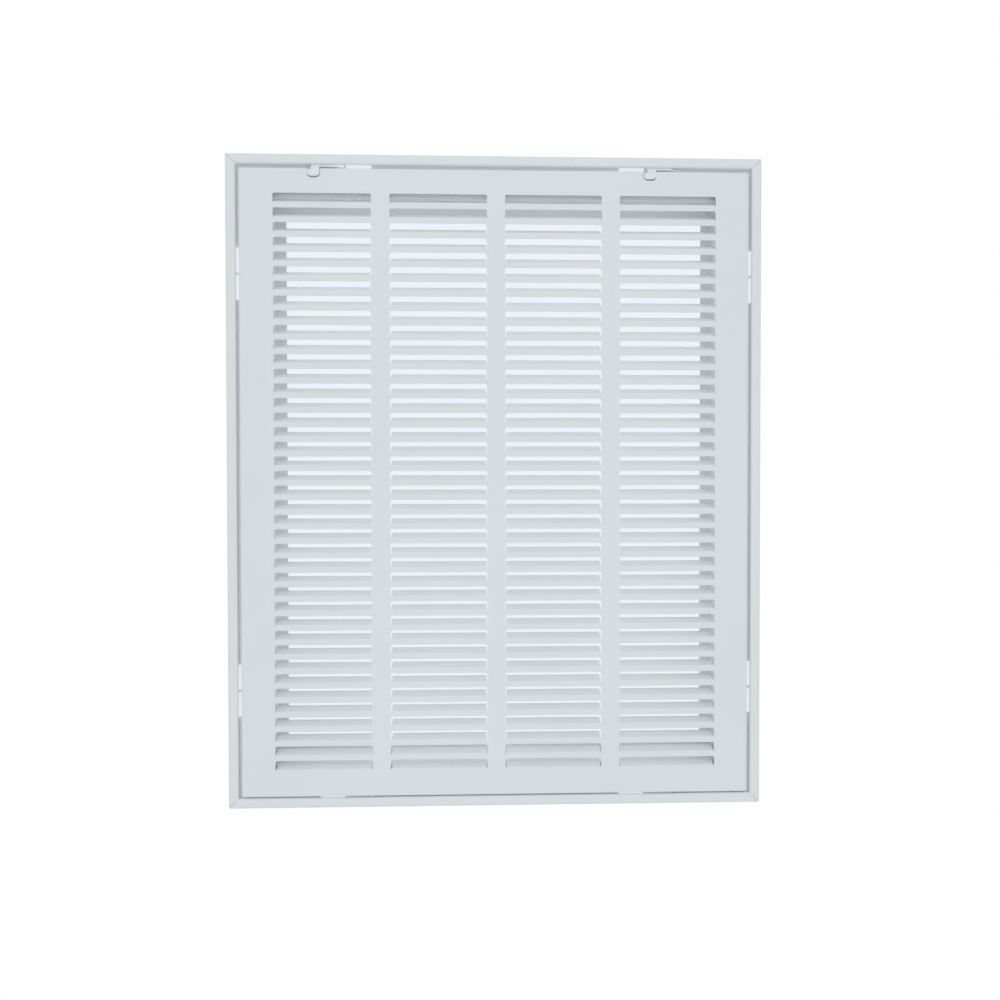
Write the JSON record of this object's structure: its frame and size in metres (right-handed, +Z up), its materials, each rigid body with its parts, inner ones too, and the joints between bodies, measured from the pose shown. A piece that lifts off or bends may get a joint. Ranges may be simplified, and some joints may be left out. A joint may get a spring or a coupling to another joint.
{
  "type": "return air filter grille",
  "caption": "Wall grille for a return air duct: a mitred sheet steel frame with a filter bay behind a stamped louvre door that hinges at the bottom and is held by sliding latches.",
  "frame": {"origin": "centre of the four wall screw holes, on the wall plane at the back of the frame's ledge", "axes": "+X to the right seen from the room, +Z up, -Y out of the wall towards the room, +Y into the duct"},
  "size_m": [0.47, 0.0337, 0.5716],
  "materials": {
    "frame_paint": "satin white powder coat",
    "door_paint": "satin white powder coat",
    "hinge_paint": "satin white powder coat",
    "latch_paint": "satin white powder coat",
    "zinc_steel": "galvanised sheet",
    "rivet_aluminium": "bare",
    "pin_steel": "bare"
  },
  "bodies": {
    "frame": {"rail_top": "frame_paint", "rail_bottom": "frame_paint", "rail_left": "frame_paint", "rail_right": "frame_paint", "corner_angle_tl": "zinc_steel", "corner_angle_tr": "zinc_steel", "corner_angle_bl": "zinc_steel", "corner_angle_br": "zinc_steel", "corner_rivets": "rivet_aluminium", "hinge_bracket_left": "hinge_paint", "hinge_bracket_right": "hinge_paint", "hinge_pins": "pin_steel"},
    "door": {"face_panel": "door_paint", "hinge_knuckle_left": "hinge_paint", "hinge_knuckle_right": "hinge_paint"},
    "latch_left": {"latch_left": "latch_paint"},
    "latch_right": {"latch_right": "latch_paint"}
  },
  "joints": [
    {"name": "door_hinge", "type": "hinge", "parent": "frame", "child": "door", "pos_m": [0, -0.00415, -0.2733], "axis": [1, 0, 0], "range_deg": [0, 110]},
    {"name": "latch_left_slide", "type": "slide", "parent": "frame", "child": "latch_left", "axis": [1, 0, 0], "range_m": [-0.0013, 0.0115]},
    {"name": "latch_right_slide", "type": "slide", "parent": "frame", "child": "latch_right", "axis": [1, 0, 0], "range_m": [-0.007, 0.0058]}
  ]
}
